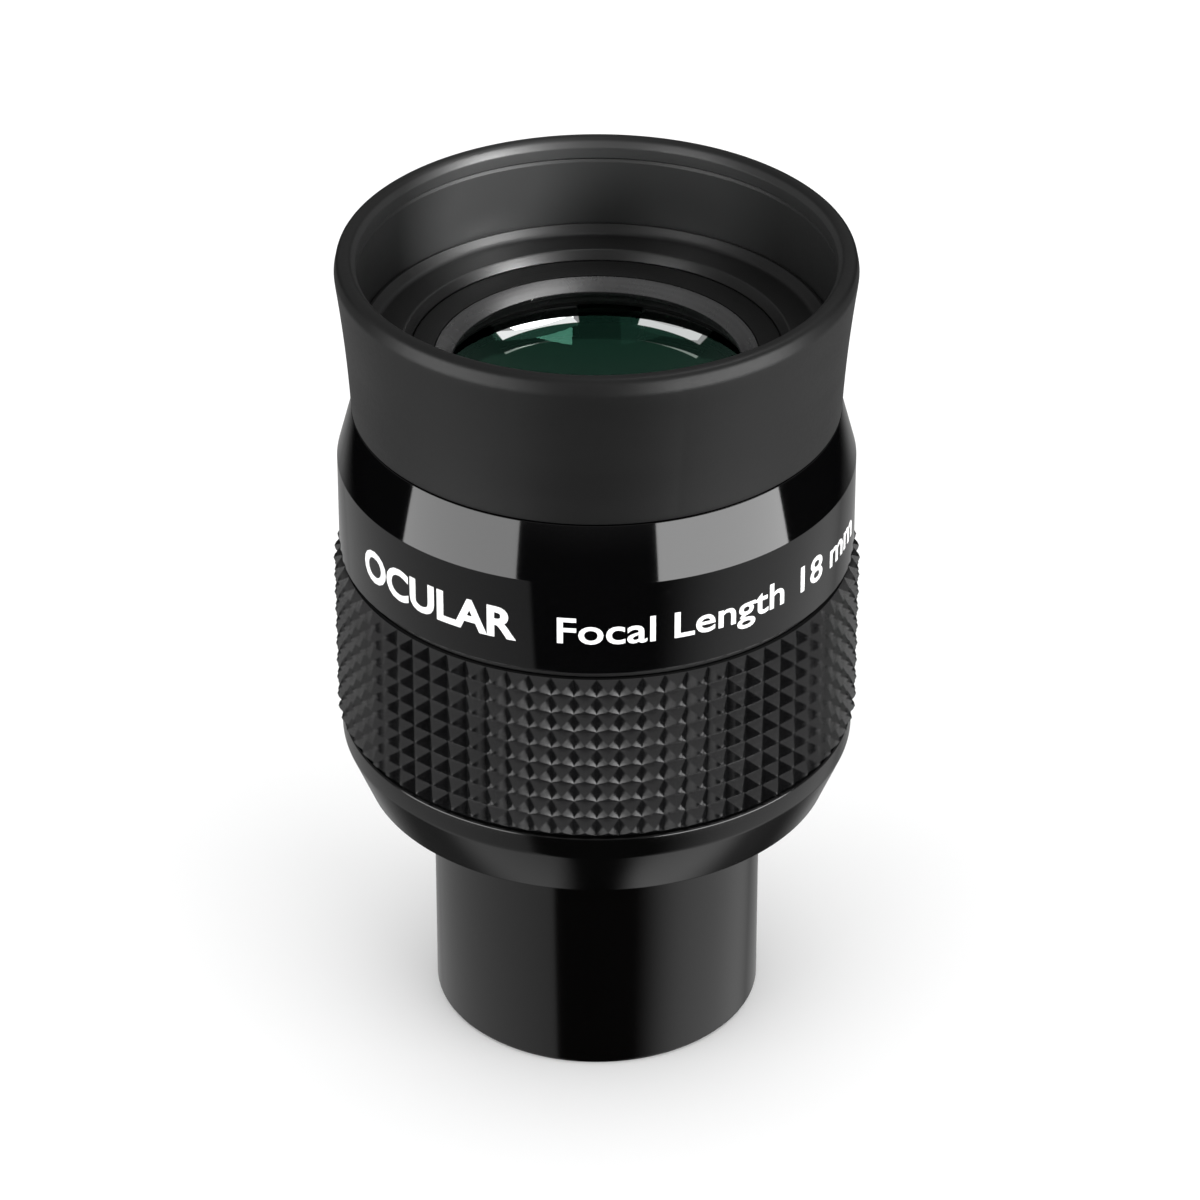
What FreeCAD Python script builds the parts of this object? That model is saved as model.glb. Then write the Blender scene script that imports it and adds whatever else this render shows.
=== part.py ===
"""A 1.25 inch telescope eyepiece: screwed barrel, rubber grip, two-part
housing, lens cell with five lenses, and a rubber eyecup that folds down.

Millimetres, +Z up along the optical axis, origin at the barrel's lower end.
Every size is a cell of the "Sizes" sheet and every feature is bound to it.
"""
import os
import re

import FreeCAD
import Part
import Sketcher

doc = FreeCAD.newDocument("eyepiece")

# ---------------------------------------------------------------- sizes
SIZES = [
    # running and assembly clearances
    ("running_gap", 0.06), ("fit_gap", 0.05), ("seat_gap", 0.05), ("edge_break", 0.3),
    # barrel: the standard 31.75 mm tube, filter thread below, screw neck above
    ("barrel_radius", 15.875), ("barrel_length", 25.05), ("barrel_chamfer", 0.38),
    ("filter_bore_radius", 14.1), ("filter_bore_depth", 4.0), ("barrel_bore_radius", 13.6),
    ("stop_seat_height", 19.0), ("stop_seat_radius", 14.0),
    ("neck_thread_radius", 15.0), ("neck_thread_length", 4.5),
    # field stop and the ring that locks it
    ("stop_aperture", 9.5), ("stop_thickness", 1.4), ("stop_land", 0.3), ("stop_bevel", 1.1),
    ("lock_ring_inner", 12.4), ("lock_ring_height", 2.0), ("slot_width", 1.6), ("slot_depth", 0.8),
    # lower housing: cone, collar, core under the grip, threaded spigot
    ("housing_base_radius", 22.4), ("housing_radius", 24.6), ("cone_height", 5.3),
    ("collar_height", 2.1), ("core_radius", 22.7), ("spigot_radius", 21.5), ("spigot_length", 3.5),
    ("thread_bore_depth", 5.1), ("light_bore_radius", 14.2), ("cell_floor", 6.1),
    ("cell_bore_radius", 18.7), ("grub_hole_radius", 1.5), ("grub_height", 16.9),
    # rubber grip: rows and columns of small pyramids
    ("grip_length", 17.4), ("grip_rows", 9), ("grip_columns", 72), ("grip_valley_radius", 24.15),
    ("grip_tip_radius", 25.05), ("grip_tip_flat", 0.2), ("grip_valley_flat", 0.14),
    # seal ring in the dark joint line
    ("seal_height", 0.7), ("seal_radius", 23.75),
    # upper housing: marking band, chamfer, neck with the eyecup's groove
    ("band_radius", 24.45), ("band_edge", 0.25), ("band_height", 9.6), ("shoulder_radius", 23.0),
    ("shoulder_height", 5.4), ("neck_radius", 21.9), ("neck_length", 5.0), ("groove_radius", 21.1),
    ("groove_height", 1.5), ("groove_width", 1.4), ("spigot_bore_depth", 3.7),
    ("throat_radius", 17.8), ("throat_length", 1.4),
    # ring that closes the neck above the lens cell
    ("clamp_radius", 22.1), ("clamp_height", 1.15), ("clamp_inner", 17.5), ("clamp_bevel_top", 18.1),
    ("clamp_land", 0.35), ("clamp_rim_inner", 21.0), ("clamp_rim_top_inner", 21.8),
    ("clamp_rim_height", 1.95),
    # lens cell and what stands in it
    ("shim_height", 0.3), ("shim_inner", 15.5), ("cell_radius", 18.6), ("cell_body_length", 37.65),
    ("cell_neck_radius", 17.4), ("cell_length", 39.4), ("cell_dish", 0.45), ("lens_bore_radius", 15.25),
    ("cell_foot_radius", 13.4), ("cell_foot_height", 2.0), ("baffle_inner", 11.5),
    ("baffle_height", 1.6), ("spacer_inner", 14.52),
    ("lens_radius", 14.95), ("lens_face_radius", 14.5), ("cement_gap", 0.03),
    # lens rims and vertices, each from the lens's own lower rim
    ("field_flint_rim", 7.5), ("field_flint_low", 1.1), ("field_flint_top", 2.9),
    ("field_crown_rim", 1.0), ("field_crown_low", -4.6), ("field_crown_top", 4.4),
    ("lower_spacer_length", 8.0),
    ("middle_crown_rim", 1.4), ("middle_crown_low", -3.1), ("middle_crown_top", 5.0),
    ("middle_flint_rim", 6.2), ("middle_flint_low", 3.6), ("middle_flint_top", 5.1),
    ("upper_spacer_length", 7.6),
    ("eye_lens_rim", 2.4), ("eye_lens_low", -3.4), ("eye_lens_top", -1.61),
    ("ring_cord_radius", 0.26), ("ring_mean_radius", 14.72),
    # retainer with the conical mouth above the eye lens
    ("retainer_height", 2.28), ("mouth_radius", 13.62), ("mouth_drop", 0.91), ("mouth_land", 0.32),
    ("mouth_relief", 0.45), ("retainer_bore_radius", 14.3),
    # eyecup: base on the neck, skirt that folds, rolled lip
    ("cup_inner_radius", 22.3), ("cup_base_length", 6.05), ("cup_base_outer", 23.05),
    ("cup_waist_height", 1.95), ("cup_waist_radius", 23.2), ("cup_middle_radius", 23.5),
    ("bead_gap", 0.06), ("skirt_length", 6.26), ("skirt_bend_height", 2.5),
    ("skirt_bend_radius", 23.72), ("cup_upper_radius", 24.13), ("skirt_end_gap", 0.02),
    ("lip_radius", 24.32), ("lip_side_height", 1.6), ("lip_round_radius", 23.95),
    ("lip_round_height", 2.85), ("lip_crest_radius", 23.2), ("lip_height", 3.35),
    ("lip_inner_round", 22.55), ("lip_inner_height", 3.0), ("lip_inner_radius", 22.2),
    ("lip_step_height", 2.3),
    # grub screws under the grip
    ("grub_radius", 1.44), ("grub_length", 3.8), ("grub_socket", 0.85), ("grub_socket_depth", 1.5),
    ("grub_count", 3),
]
sheet = doc.addObject("Spreadsheet::Sheet", "Sizes")
for row, (word, value) in enumerate(SIZES, start=1):
    sheet.set(f"A{row}", word)
    sheet.set(f"B{row}", str(value))
    sheet.setAlias(f"B{row}", word)
doc.recompute()

# Heights of the seats the pieces stand on, bottom to top.
HOUSING_SEAT = "barrel_length + seat_gap"
GRIP_SEAT = HOUSING_SEAT + " + cone_height + collar_height"
SEAL_SEAT = GRIP_SEAT + " + grip_length"
UPPER_SEAT = SEAL_SEAT + " + seal_height"
NECK_SEAT = UPPER_SEAT + " + band_height + shoulder_height"
CLAMP_SEAT = NECK_SEAT + " + neck_length"
SHIM_SEAT = HOUSING_SEAT + " + cell_floor"
CELL_SEAT = SHIM_SEAT + " + shim_height"
FIELD_FLINT_SEAT = CELL_SEAT + " + cell_foot_height"
FIELD_CROWN_SEAT = FIELD_FLINT_SEAT + " + field_flint_rim + cement_gap"
LOWER_SPACER_SEAT = FIELD_CROWN_SEAT + " + field_crown_rim"
MIDDLE_CROWN_SEAT = LOWER_SPACER_SEAT + " + lower_spacer_length"
MIDDLE_FLINT_SEAT = MIDDLE_CROWN_SEAT + " + middle_crown_rim + cement_gap"
UPPER_SPACER_SEAT = MIDDLE_FLINT_SEAT + " + middle_flint_rim"
EYE_LENS_SEAT = UPPER_SPACER_SEAT + " + upper_spacer_length"
O_RING_SEAT = EYE_LENS_SEAT + " + eye_lens_rim"
RETAINER_SEAT = O_RING_SEAT + " + 2 * ring_cord_radius"
CUP_SEAT = NECK_SEAT + " + seat_gap"
SKIRT_SEAT = CUP_SEAT + " + cup_base_length + skirt_end_gap"
LIP_SEAT = SKIRT_SEAT + " + skirt_length + skirt_end_gap"


def bound(text):
    """The same expression with every size named as a cell of the sheet."""
    return re.sub(r"\b([a-z][a-z_]+)\b(?!\()", r"Sizes.\1", text)


def value_of(text):
    """The number an expression stands for now."""
    return float(sheet.evalExpression(text))


def origin_item(body, role):
    for item in body.Origin.OriginFeatures:
        if item.Role == role:
            return item
    raise ValueError(role)


def new_body(name, seat):
    """An empty body whose base stands at the height named by seat."""
    body = doc.addObject("PartDesign::Body", name)
    body.Label = name
    if seat != "0":
        body.setExpression("Placement.Base.z", bound(seat))
    return body


def new_sketch(body, role, name, height=None):
    """A sketch on one of the body's own planes, lifted by height."""
    sketch = body.newObject("Sketcher::SketchObject", name)
    sketch.AttachmentSupport = [(origin_item(body, role), "")]
    sketch.MapMode = "FlatFace"
    if height is not None:
        sketch.setExpression("AttachmentOffset.Base.z", bound(height))
    return sketch


def pin_point(sketch, edge, end, across, up):
    """Hold one end of an edge at two bound distances from the origin."""
    for kind, text, axis in (("DistanceX", across, -2), ("DistanceY", up, -1)):
        value = value_of(text)
        if abs(value) < 1e-9:
            sketch.addConstraint(Sketcher.Constraint("PointOnObject", edge, end, axis))
            continue
        if value > 0:
            index = sketch.addConstraint(Sketcher.Constraint(kind, -1, 1, edge, end, value))
            sketch.setExpression(f"Constraints[{index}]", bound(text))
        else:
            index = sketch.addConstraint(Sketcher.Constraint(kind, edge, end, -1, 1, -value))
            sketch.setExpression(f"Constraints[{index}]", f"-({bound(text)})")


def revolve(body, sketch, name):
    turn = body.newObject("PartDesign::Revolution", name + "_turn")
    turn.Profile = sketch
    turn.ReferenceAxis = (sketch, ["V_Axis"])
    turn.Angle = 360
    sketch.Visibility = False
    body.Tip = turn
    doc.recompute()


def turned(name, seat, points):
    """A piece of revolution from a closed profile of (radius, height)."""
    body = new_body(name, seat)
    sketch = new_sketch(body, "XZ_Plane", name + "_profile")
    places = [FreeCAD.Vector(value_of(r), value_of(z), 0) for r, z in points]
    count = len(points)
    for i in range(count):
        sketch.addGeometry(Part.LineSegment(places[i], places[(i + 1) % count]), False)
    for i in range(count):
        sketch.addConstraint(Sketcher.Constraint("Coincident", i, 2, (i + 1) % count, 1))
    for i, (r, z) in enumerate(points):
        pin_point(sketch, i, 1, r, z)
    revolve(body, sketch, name)
    return body


def tube(name, seat, inner, outer, height):
    """A plain ring with square edges."""
    return turned(name, seat, [(inner, "0"), (outer, "0"), (outer, height), (inner, height)])


def arc_between(start, end):
    """The arc through both points that is level where it meets the axis."""
    vertex, rim = (start, end) if abs(start.x) < 1e-9 else (end, start)
    sag = rim.y - vertex.y
    radius = (rim.x ** 2 + sag ** 2) / (2 * abs(sag))
    centre = vertex.y + (radius if sag > 0 else -radius)
    half = rim.x / 2
    drop = (radius ** 2 - half ** 2) ** 0.5
    middle = FreeCAD.Vector(half, centre - drop if sag > 0 else centre + drop, 0)
    return Part.Arc(start, middle, end)


def lens(name, seat, rim, low, top):
    """A lens: flat rim, two spherical faces with vertices at low and top."""
    body = new_body(name, seat)
    sketch = new_sketch(body, "XZ_Plane", name + "_profile")
    words = [("0", low), ("lens_face_radius", "0"), ("lens_radius", "0"), ("lens_radius", rim),
             ("lens_face_radius", rim), ("0", top)]
    spots = [FreeCAD.Vector(value_of(r), value_of(z), 0) for r, z in words]
    sketch.addGeometry(arc_between(spots[0], spots[1]), False)
    for i in (1, 2, 3):
        sketch.addGeometry(Part.LineSegment(spots[i], spots[i + 1]), False)
    sketch.addGeometry(arc_between(spots[4], spots[5]), False)
    sketch.addGeometry(Part.LineSegment(spots[5], spots[0]), False)

    def end_at(edge, spot):
        return 1 if (sketch.getPoint(edge, 1) - spot).Length < 1e-6 else 2

    for i in range(6):
        after = (i + 1) % 6
        spot = spots[after]
        sketch.addConstraint(Sketcher.Constraint("Coincident", i, end_at(i, spot),
                                                 after, end_at(after, spot)))
    for i, (r, z) in enumerate(words):
        pin_point(sketch, i, end_at(i, spots[i]), r, z)
    for arc in (0, 4):
        sketch.addConstraint(Sketcher.Constraint("PointOnObject", arc, 3, -2))
    revolve(body, sketch, name)
    return body


def spanner_slots(body, height):
    """One cut straight across a ring's top, which leaves two slots."""
    sketch = new_sketch(body, "XY_Plane", body.Name + "_slots", height)
    wide, long = value_of("slot_width") / 2, value_of("2 * barrel_radius") / 2
    corners = [FreeCAD.Vector(-wide, -long, 0), FreeCAD.Vector(wide, -long, 0),
               FreeCAD.Vector(wide, long, 0), FreeCAD.Vector(-wide, long, 0)]
    for i in range(4):
        sketch.addGeometry(Part.LineSegment(corners[i], corners[(i + 1) % 4]), False)
    for i in range(4):
        sketch.addConstraint(Sketcher.Constraint("Coincident", i, 2, (i + 1) % 4, 1))
    sketch.addConstraint(Sketcher.Constraint("Horizontal", 0))
    sketch.addConstraint(Sketcher.Constraint("Vertical", 1))
    sketch.addConstraint(Sketcher.Constraint("Horizontal", 2))
    sketch.addConstraint(Sketcher.Constraint("Symmetric", 0, 1, 1, 2, -1, 1))
    index = sketch.addConstraint(Sketcher.Constraint("DistanceX", 0, 1, 0, 2, 2 * wide))
    sketch.setExpression(f"Constraints[{index}]", bound("slot_width"))
    index = sketch.addConstraint(Sketcher.Constraint("DistanceY", 1, 1, 1, 2, 2 * long))
    sketch.setExpression(f"Constraints[{index}]", bound("2 * barrel_radius"))
    cut = body.newObject("PartDesign::Pocket", body.Name + "_slot_cut")
    cut.Profile = sketch
    cut.setExpression("Length", bound("slot_depth"))
    sketch.Visibility = False
    body.Tip = cut
    doc.recompute()


def around(body, cut, name, count):
    """Repeat a cut evenly round the axis."""
    ring = body.newObject("PartDesign::PolarPattern", name)
    ring.Originals = [cut]
    ring.Axis = (origin_item(body, "Z_Axis"), [""])
    ring.Angle = 360
    ring.setExpression("Occurrences", bound(count))
    body.Tip = ring
    doc.recompute()


# --------------------------------------------------------------- barrel
NECK_TOP = "barrel_length + neck_thread_length"
turned("barrel_tube", "0", [
    ("filter_bore_radius + edge_break", "0"),
    ("barrel_radius - barrel_chamfer", "0"),
    ("barrel_radius", "barrel_chamfer"),
    ("barrel_radius", "barrel_length"),
    ("neck_thread_radius", "barrel_length"),
    ("neck_thread_radius", NECK_TOP + " - edge_break"),
    ("neck_thread_radius - edge_break", NECK_TOP),
    ("stop_seat_radius", NECK_TOP),
    ("stop_seat_radius", "stop_seat_height"),
    ("barrel_bore_radius", "stop_seat_height"),
    ("barrel_bore_radius", "filter_bore_depth"),
    ("filter_bore_radius", "filter_bore_depth"),
    ("filter_bore_radius", "edge_break"),
])

turned("field_stop", "stop_seat_height + seat_gap", [
    ("stop_aperture + stop_bevel", "0"),
    ("stop_seat_radius - running_gap", "0"),
    ("stop_seat_radius - running_gap", "stop_thickness"),
    ("stop_aperture", "stop_thickness"),
    ("stop_aperture", "stop_thickness - stop_land"),
])

lock_ring = tube("field_stop_lock_ring", "stop_seat_height + stop_thickness + 2 * seat_gap",
                 "lock_ring_inner", "stop_seat_radius - fit_gap", "lock_ring_height")
spanner_slots(lock_ring, "lock_ring_height")

# -------------------------------------------------------- lower housing
COLLAR_TOP = "cone_height + collar_height"
CORE_TOP = COLLAR_TOP + " + grip_length"
SPIGOT_TOP = CORE_TOP + " + spigot_length"
lower_housing = turned("lower_housing", HOUSING_SEAT, [
    ("neck_thread_radius + running_gap + edge_break", "0"),
    ("housing_base_radius", "0"),
    ("housing_radius", "cone_height"),
    ("housing_radius", COLLAR_TOP),
    ("core_radius", COLLAR_TOP),
    ("core_radius", CORE_TOP),
    ("spigot_radius", CORE_TOP),
    ("spigot_radius", SPIGOT_TOP),
    ("cell_bore_radius", SPIGOT_TOP),
    ("cell_bore_radius", "cell_floor"),
    ("light_bore_radius", "cell_floor"),
    ("light_bore_radius", "thread_bore_depth"),
    ("neck_thread_radius + running_gap", "thread_bore_depth"),
    ("neck_thread_radius + running_gap", "edge_break"),
])
grub_sketch = new_sketch(lower_housing, "XZ_Plane", "grub_hole_circle")
grub_sketch.addGeometry(Part.Circle(FreeCAD.Vector(0, value_of("grub_height"), 0),
                                    FreeCAD.Vector(0, 0, 1), value_of("grub_hole_radius")), False)
pin_point(grub_sketch, 0, 3, "0", "grub_height")
grub_index = grub_sketch.addConstraint(Sketcher.Constraint("Radius", 0, value_of("grub_hole_radius")))
grub_sketch.setExpression(f"Constraints[{grub_index}]", bound("grub_hole_radius"))
grub_hole = lower_housing.newObject("PartDesign::Pocket", "grub_hole")
grub_hole.Profile = grub_sketch
grub_hole.Reversed = True
grub_hole.setExpression("Length", bound("housing_radius"))
grub_sketch.Visibility = False
doc.recompute()
around(lower_housing, grub_hole, "grub_holes", "grub_count")

# ----------------------------------------------------------------- grip
ROW = "grip_length / grip_rows"
ridges = [("core_radius + fit_gap", "0"), ("grip_valley_radius", "0")]
for i in range(int(value_of("grip_rows"))):
    foot = f"{i} * {ROW}"
    if i:
        ridges.append(("grip_valley_radius", foot + " + grip_valley_flat / 2"))
    else:
        ridges.append(("grip_valley_radius", "grip_valley_flat"))
    ridges.append(("grip_tip_radius", f"{foot} + {ROW} / 2 - grip_tip_flat / 2"))
    ridges.append(("grip_tip_radius", f"{foot} + {ROW} / 2 + grip_tip_flat / 2"))
    ridges.append(("grip_valley_radius", f"{i + 1} * {ROW} - grip_valley_flat / 2"))
ridges[-1] = ("grip_valley_radius", "grip_length - grip_valley_flat")
ridges += [("grip_valley_radius", "grip_length"), ("core_radius + fit_gap", "grip_length")]
grip = turned("grip_sleeve", GRIP_SEAT, ridges)

notch = new_sketch(grip, "XY_Plane", "grip_notch")
OPEN = "3.14159265 * grip_tip_radius / grip_columns - grip_tip_flat / 2"
corners = [("grip_valley_radius", "grip_valley_flat / 2"),
           ("grip_tip_radius", OPEN),
           ("grip_tip_radius + 1", OPEN),
           ("grip_tip_radius + 1", f"-({OPEN})"),
           ("grip_tip_radius", f"-({OPEN})"),
           ("grip_valley_radius", "-(grip_valley_flat / 2)")]
spots = [FreeCAD.Vector(value_of(x), value_of(y), 0) for x, y in corners]
for i in range(6):
    notch.addGeometry(Part.LineSegment(spots[i], spots[(i + 1) % 6]), False)
for i in range(6):
    notch.addConstraint(Sketcher.Constraint("Coincident", i, 2, (i + 1) % 6, 1))
for i, (x, y) in enumerate(corners):
    pin_point(notch, i, 1, x, y)
notch_cut = grip.newObject("PartDesign::Pocket", "grip_notch_cut")
notch_cut.Profile = notch
notch_cut.Reversed = True
notch_cut.setExpression("Length", bound("grip_length"))
notch.Visibility = False
doc.recompute()
around(grip, notch_cut, "grip_notches", "grip_columns")

# -------------------------------------------------------- upper housing
tube("housing_seal_ring", SEAL_SEAT, "spigot_radius + fit_gap", "seal_radius", "seal_height")

SHOULDER_TOP = "band_height + shoulder_height"
NECK_END = SHOULDER_TOP + " + neck_length"
turned("upper_housing", UPPER_SEAT, [
    ("spigot_radius + fit_gap", "0"),
    ("band_radius - band_edge", "0"),
    ("band_radius", "band_edge"),
    ("band_radius", "band_height"),
    ("shoulder_radius", SHOULDER_TOP),
    ("neck_radius", SHOULDER_TOP),
    ("neck_radius", SHOULDER_TOP + " + groove_height"),
    ("groove_radius", SHOULDER_TOP + " + groove_height"),
    ("groove_radius", SHOULDER_TOP + " + groove_height + groove_width"),
    ("neck_radius", SHOULDER_TOP + " + groove_height + groove_width"),
    ("neck_radius", NECK_END),
    ("throat_radius", NECK_END),
    ("throat_radius", NECK_END + " - throat_length"),
    ("cell_bore_radius", NECK_END + " - throat_length"),
    ("cell_bore_radius", "spigot_bore_depth"),
    ("spigot_radius + fit_gap", "spigot_bore_depth"),
])

turned("eyecup_clamp_ring", CLAMP_SEAT, [
    ("clamp_inner", "0"),
    ("clamp_radius", "0"),
    ("clamp_radius", "clamp_rim_height"),
    ("clamp_rim_top_inner", "clamp_rim_height"),
    ("clamp_rim_inner", "clamp_height"),
    ("clamp_bevel_top", "clamp_height"),
    ("clamp_inner", "clamp_land"),
])

# --------------------------------------------------- lens cell and stack
tube("cell_shim", SHIM_SEAT, "shim_inner", "cell_radius - fit_gap", "shim_height")

turned("lens_cell", CELL_SEAT, [
    ("cell_foot_radius", "0"),
    ("cell_radius", "0"),
    ("cell_radius", "cell_body_length"),
    ("cell_neck_radius", "cell_body_length"),
    ("cell_neck_radius", "cell_length"),
    ("lens_bore_radius", "cell_length - cell_dish"),
    ("lens_bore_radius", "cell_foot_height"),
    ("cell_foot_radius", "cell_foot_height"),
])

baffle = tube("field_baffle", CELL_SEAT + " + seat_gap", "baffle_inner",
              "cell_foot_radius - fit_gap", "baffle_height")
spanner_slots(baffle, "baffle_height")

SPACER_RADIUS = "lens_bore_radius - fit_gap"
lens("field_flint", FIELD_FLINT_SEAT, "field_flint_rim", "field_flint_low", "field_flint_top")
lens("field_crown", FIELD_CROWN_SEAT, "field_crown_rim", "field_crown_low", "field_crown_top")
tube("lower_spacer", LOWER_SPACER_SEAT, "spacer_inner", SPACER_RADIUS, "lower_spacer_length")
lens("middle_crown", MIDDLE_CROWN_SEAT, "middle_crown_rim", "middle_crown_low", "middle_crown_top")
lens("middle_flint", MIDDLE_FLINT_SEAT, "middle_flint_rim", "middle_flint_low", "middle_flint_top")
tube("upper_spacer", UPPER_SPACER_SEAT, "spacer_inner", SPACER_RADIUS, "upper_spacer_length")
lens("eye_lens", EYE_LENS_SEAT, "eye_lens_rim", "eye_lens_low", "eye_lens_top")

o_ring = doc.addObject("Part::Torus", "eye_lens_o_ring")
o_ring.Label = "eye_lens_o_ring"
o_ring.setExpression("Radius1", bound("ring_mean_radius"))
o_ring.setExpression("Radius2", bound("ring_cord_radius"))
o_ring.setExpression("Placement.Base.z", bound(O_RING_SEAT + " + ring_cord_radius"))

turned("eye_lens_retainer", RETAINER_SEAT, [
    ("retainer_bore_radius", "0"),
    ("lens_bore_radius - fit_gap", "0"),
    ("lens_bore_radius - fit_gap", "retainer_height"),
    ("mouth_radius", "retainer_height - mouth_drop"),
    ("mouth_radius", "retainer_height - mouth_drop - mouth_land"),
    ("retainer_bore_radius", "retainer_height - mouth_drop - mouth_land - mouth_relief"),
])

# --------------------------------------------------------------- eyecup
BEAD_LOW = "groove_height - seat_gap + bead_gap"
BEAD_HIGH = "groove_height + groove_width - seat_gap - bead_gap"
CLAMP_LINE = "neck_length - seat_gap"
turned("eyecup_base", CUP_SEAT, [
    ("neck_radius + fit_gap", "0"),
    ("cup_base_outer", "0"),
    ("cup_waist_radius", "cup_waist_height"),
    ("cup_middle_radius", "cup_base_length"),
    ("cup_inner_radius", "cup_base_length"),
    ("cup_inner_radius", CLAMP_LINE),
    ("neck_radius + fit_gap", CLAMP_LINE),
    ("neck_radius + fit_gap", BEAD_HIGH),
    ("groove_radius + bead_gap", BEAD_HIGH),
    ("groove_radius + bead_gap", BEAD_LOW),
    ("neck_radius + fit_gap", BEAD_LOW),
])

turned("eyecup_skirt", SKIRT_SEAT, [
    ("cup_inner_radius", "0"),
    ("cup_middle_radius", "0"),
    ("skirt_bend_radius", "skirt_bend_height"),
    ("cup_upper_radius", "skirt_length"),
    ("cup_inner_radius", "skirt_length"),
])

turned("eyecup_lip", LIP_SEAT, [
    ("cup_inner_radius", "0"),
    ("cup_upper_radius", "0"),
    ("lip_radius", "lip_side_height"),
    ("lip_round_radius", "lip_round_height"),
    ("lip_crest_radius", "lip_height"),
    ("lip_inner_round", "lip_inner_height"),
    ("lip_inner_radius", "lip_step_height"),
])

# ---------------------------------------------------------- grub screws
SCREW_START = "cell_radius + fit_gap"
screws = []
for i in range(int(value_of("grub_count"))):
    turn = f"{i} * 360 / grub_count"
    shank = doc.addObject("Part::Cylinder", f"grub_shank_{i + 1}")
    shank.setExpression("Radius", bound("grub_radius"))
    shank.setExpression("Height", bound("grub_length"))
    socket = doc.addObject("Part::Prism", f"grub_socket_{i + 1}")
    socket.Polygon = 6
    socket.setExpression("Circumradius", bound("grub_socket"))
    socket.setExpression("Height", bound("grub_socket_depth"))
    socket.setExpression("Placement.Base.z", bound("grub_length - grub_socket_depth"))
    screw = doc.addObject("Part::Cut", f"grub_screw_{i + 1}")
    screw.Base = shank
    screw.Tool = socket
    screw.Placement = FreeCAD.Placement(FreeCAD.Vector(0, 0, 0),
                                        FreeCAD.Rotation(value_of(turn), 0, 90))
    angle = bound(f"({turn} - 90)")
    screw.setExpression("Placement.Base.x", bound(f"({SCREW_START})") + f" * cos({angle})")
    screw.setExpression("Placement.Base.y", bound(f"({SCREW_START})") + f" * sin({angle})")
    screw.setExpression("Placement.Base.z", bound(HOUSING_SEAT + " + grub_height"))
    screws.append(screw)
grub_screws = doc.addObject("Part::Compound", "grub_screws")
grub_screws.Label = "grub_screws"
grub_screws.Links = screws
doc.recompute()

# --------------------------------------------------------------- export
for item in doc.Objects:
    if {"Invalid", "Error"} & set(item.State):
        raise RuntimeError(f"{item.Name} did not compute: {item.State}")
pieces = [item for item in doc.Objects if item.TypeId == "PartDesign::Body"]
pieces += [o_ring, grub_screws]
os.makedirs("parts", exist_ok=True)
for piece in pieces:
    if piece.Shape.isNull() or not piece.Shape.isValid():
        raise RuntimeError(f"{piece.Label} has no valid shape")
    piece.Shape.exportStep(os.path.join("parts", piece.Label + ".step"))
    box = piece.Shape.BoundBox
    print(f"{piece.Label:22s} solids {len(piece.Shape.Solids)}  r {box.XMax:6.2f}"
          f"  z {box.ZMin:6.2f} to {box.ZMax:6.2f}")
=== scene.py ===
# %% [markdown]
# # A telescope eyepiece, dressed for its portrait
#
# The shapes and sizes of every part were settled in CAD. This lesson loads that model as a
# fixed frame and gives each part the surface that a person would see: moulded rubber, black
# anodised metal, coated glass. Everything is in metres, with +Z up along the optical axis.

# %% Load the frame
import math

import bmesh
import bpy
import numpy as np
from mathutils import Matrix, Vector


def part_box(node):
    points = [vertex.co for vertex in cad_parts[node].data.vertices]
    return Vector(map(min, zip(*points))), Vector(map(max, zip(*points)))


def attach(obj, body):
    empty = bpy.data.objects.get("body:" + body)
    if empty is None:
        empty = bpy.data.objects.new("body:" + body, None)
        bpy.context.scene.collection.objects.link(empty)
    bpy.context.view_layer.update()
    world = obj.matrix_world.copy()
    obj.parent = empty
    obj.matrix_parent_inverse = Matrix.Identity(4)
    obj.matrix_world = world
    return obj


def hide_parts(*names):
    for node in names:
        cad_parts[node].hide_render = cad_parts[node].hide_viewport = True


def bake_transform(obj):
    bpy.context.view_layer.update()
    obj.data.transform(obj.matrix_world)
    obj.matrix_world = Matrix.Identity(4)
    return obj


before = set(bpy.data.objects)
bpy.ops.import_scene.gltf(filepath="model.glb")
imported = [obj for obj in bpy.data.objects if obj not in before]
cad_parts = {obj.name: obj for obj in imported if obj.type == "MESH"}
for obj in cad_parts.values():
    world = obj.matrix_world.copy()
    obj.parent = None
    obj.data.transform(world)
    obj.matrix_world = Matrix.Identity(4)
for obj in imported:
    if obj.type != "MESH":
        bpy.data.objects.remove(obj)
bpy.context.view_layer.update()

MM = 0.001


def span_of(node):
    """Lowest and highest point of a CAD node, in mm."""
    low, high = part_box(node)
    return low[2] / MM, high[2] / MM


def radius_of(node):
    """Largest radius of a CAD node that is turned about the axis, in mm."""
    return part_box(node)[1][0] / MM


# %% [markdown]
# ## Shader maths as plain expressions
#
# A material is a net of nodes, and drawing one in code soon becomes unreadable. `Wire` wraps
# an output socket, so that `noise * 0.5 + 0.2` adds the two Math nodes it needs. `Finish` is one
# material being made. Its `node` method makes any other kind of node.

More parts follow.
